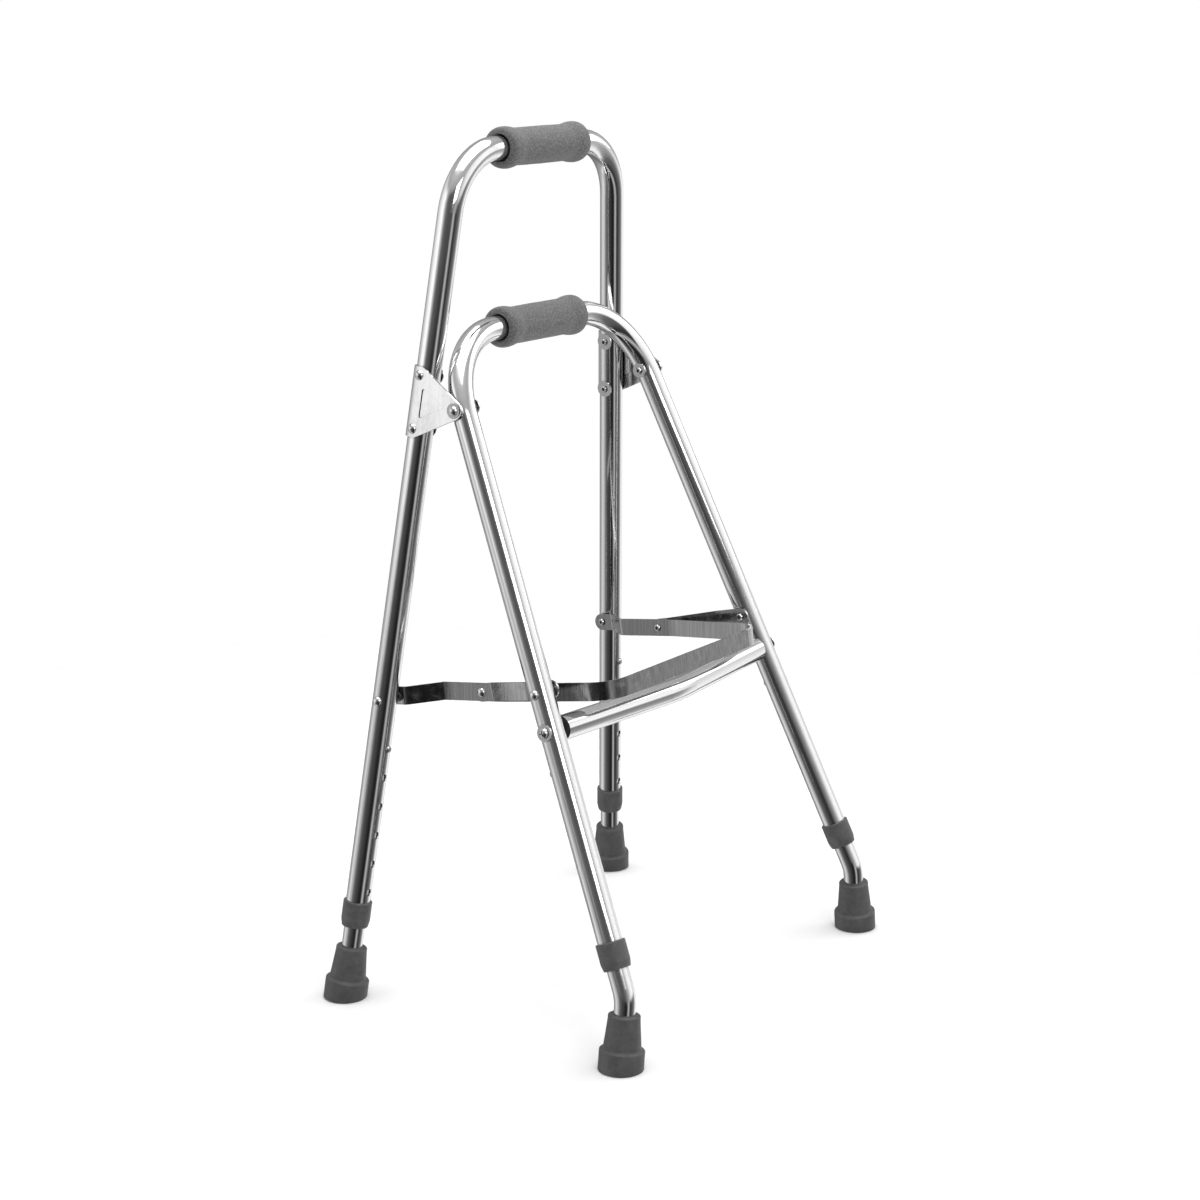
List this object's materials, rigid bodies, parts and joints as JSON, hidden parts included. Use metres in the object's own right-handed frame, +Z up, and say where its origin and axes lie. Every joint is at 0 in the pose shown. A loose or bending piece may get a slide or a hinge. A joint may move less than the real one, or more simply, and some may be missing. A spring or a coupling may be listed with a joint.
{
  "type": "folding side walker",
  "caption": "Folding one-hand walking frame: tall and short bent tube hoops hinged together, foam hand grips, folding brace and height-adjustable legs.",
  "frame": {"origin": "on the floor, midway between the feet of the open frame", "axes": "X along the hand grips, +Y from the short frame to the tall frame, +Z up"},
  "size_m": [0.4726, 0.3404, 0.784],
  "materials": {
    "tube": "bright polished and anodised bent tube",
    "leg_tube": "bright anodised sliding leg tube",
    "plate": "bright plated pressed steel plate",
    "strap": "plated steel strap, darker than the tubes",
    "rivet": "plated steel fasteners",
    "button_steel": "spring steel clip and button",
    "grip_foam": "closed-cell grip foam, matte, fine pores",
    "tip_rubber": "moulded grey rubber",
    "collar_plastic": "moulded grey plastic",
    "plug_plastic": "black plastic plug"
  },
  "bodies": {
    "tall_frame": {"tall_frame_tube": "tube", "tall_grip": "grip_foam", "hinge_plate_left": "plate", "hinge_plate_right": "plate", "hinge_plate_rivets": "rivet", "hinge_plate_washers": "rivet", "hinge_pivot_rivets": "rivet", "hinge_pivot_washers": "rivet", "brace_tall_rivets": "rivet", "brace_tall_spacers": "rivet", "leg_collar_tall_left": "collar_plastic", "leg_collar_tall_right": "collar_plastic"},
    "short_frame": {"short_frame_tube": "tube", "short_grip": "grip_foam", "cross_tube": "tube", "cross_tube_plugs": "plug_plastic", "cross_tube_screws": "rivet", "cross_tube_washers": "rivet", "brace_short_rivets": "rivet", "brace_short_spacers": "rivet", "leg_collar_short_left": "collar_plastic", "leg_collar_short_right": "collar_plastic"},
    "brace_bar": {"brace_bar": "strap", "brace_mid_tails": "rivet"},
    "brace_link_left": {"brace_link_left": "strap", "brace_mid_head_left": "rivet"},
    "brace_link_right": {"brace_link_right": "strap", "brace_mid_head_right": "rivet"},
    "leg_tall_left": {"leg_tube_tall_left": "leg_tube", "foot_tip_tall_left": "tip_rubber", "tip_washer_tall_left": "rivet", "spring_clip_tall_left": "button_steel"},
    "button_tall_left": {"snap_button_tall_left": "button_steel"},
    "leg_tall_right": {"leg_tube_tall_right": "leg_tube", "foot_tip_tall_right": "tip_rubber", "tip_washer_tall_right": "rivet", "spring_clip_tall_right": "button_steel"},
    "button_tall_right": {"snap_button_tall_right": "button_steel"},
    "leg_short_left": {"leg_tube_short_left": "leg_tube", "foot_tip_short_left": "tip_rubber", "tip_washer_short_left": "rivet", "spring_clip_short_left": "button_steel"},
    "button_short_left": {"snap_button_short_left": "button_steel"},
    "leg_short_right": {"leg_tube_short_right": "leg_tube", "foot_tip_short_right": "tip_rubber", "tip_washer_short_right": "rivet", "spring_clip_short_right": "button_steel"},
    "button_short_right": {"snap_button_short_right": "button_steel"}
  },
  "joints": [
    {"name": "frame_fold", "type": "hinge", "parent": "tall_frame", "child": "short_frame", "pos_m": [0, 0.0586, 0.545], "axis": [1, 0, 0], "range_deg": [0, 27.99]},
    {"name": "brace_bar_fold", "type": "hinge", "parent": "tall_frame", "child": "brace_bar", "pos_m": [0, 0.12508, 0.2795], "axis": [1, 0, 0], "range_deg": [-84.26, 0]},
    {"name": "brace_link_left_fold", "type": "hinge", "parent": "short_frame", "child": "brace_link_left", "pos_m": [0, -0.04297, 0.31], "axis": [1, 0, 0], "range_deg": [0, 41.59]},
    {"name": "brace_link_right_fold", "type": "hinge", "parent": "short_frame", "child": "brace_link_right", "pos_m": [0, -0.04297, 0.31], "axis": [1, 0, 0], "range_deg": [0, 41.59]},
    {"name": "leg_slide_tall_left", "type": "slide", "parent": "tall_frame", "child": "leg_tall_left", "axis": [-0.1265, 0.0885, -0.988], "range_m": [0, 0.136], "deforming": ["snap_button_tall_left"]},
    {"name": "button_press_tall_left", "type": "slide", "parent": "leg_tall_left", "child": "button_tall_left", "axis": [0.0112, 0.9961, 0.0878], "range_m": [0, 0.0042], "stiffness_N_per_m": 2500, "deforming": ["spring_clip_tall_left"]},
    {"name": "leg_slide_tall_right", "type": "slide", "parent": "tall_frame", "child": "leg_tall_right", "axis": [0.1265, 0.0885, -0.988], "range_m": [0, 0.136], "deforming": ["snap_button_tall_right"]},
    {"name": "button_press_tall_right", "type": "slide", "parent": "leg_tall_right", "child": "button_tall_right", "axis": [-0.0112, 0.9961, 0.0878], "range_m": [0, 0.0042], "stiffness_N_per_m": 2500, "deforming": ["spring_clip_tall_right"]},
    {"name": "leg_slide_short_left", "type": "slide", "parent": "short_frame", "child": "leg_short_left", "axis": [-0.103, -0.3946, -0.9131], "range_m": [0, 0.136], "deforming": ["snap_button_short_left"]},
    {"name": "button_press_short_left", "type": "slide", "parent": "leg_short_left", "child": "button_short_left", "axis": [0.0442, -0.9188, 0.3921], "range_m": [0, 0.0042], "stiffness_N_per_m": 2500, "deforming": ["spring_clip_short_left"]},
    {"name": "leg_slide_short_right", "type": "slide", "parent": "short_frame", "child": "leg_short_right", "axis": [0.103, -0.3946, -0.9131], "range_m": [0, 0.136], "deforming": ["snap_button_short_right"]},
    {"name": "button_press_short_right", "type": "slide", "parent": "leg_short_right", "child": "button_short_right", "axis": [-0.0442, -0.9188, 0.3921], "range_m": [0, 0.0042], "stiffness_N_per_m": 2500, "deforming": ["spring_clip_short_right"]}
  ],
  "couplings": [
    {"joint": "brace_bar_fold", "follows": "frame_fold", "ratio": -3.0097},
    {"joint": "brace_link_left_fold", "follows": "frame_fold", "ratio": 1.4854},
    {"joint": "brace_link_right_fold", "follows": "frame_fold", "ratio": 1.4854}
  ]
}
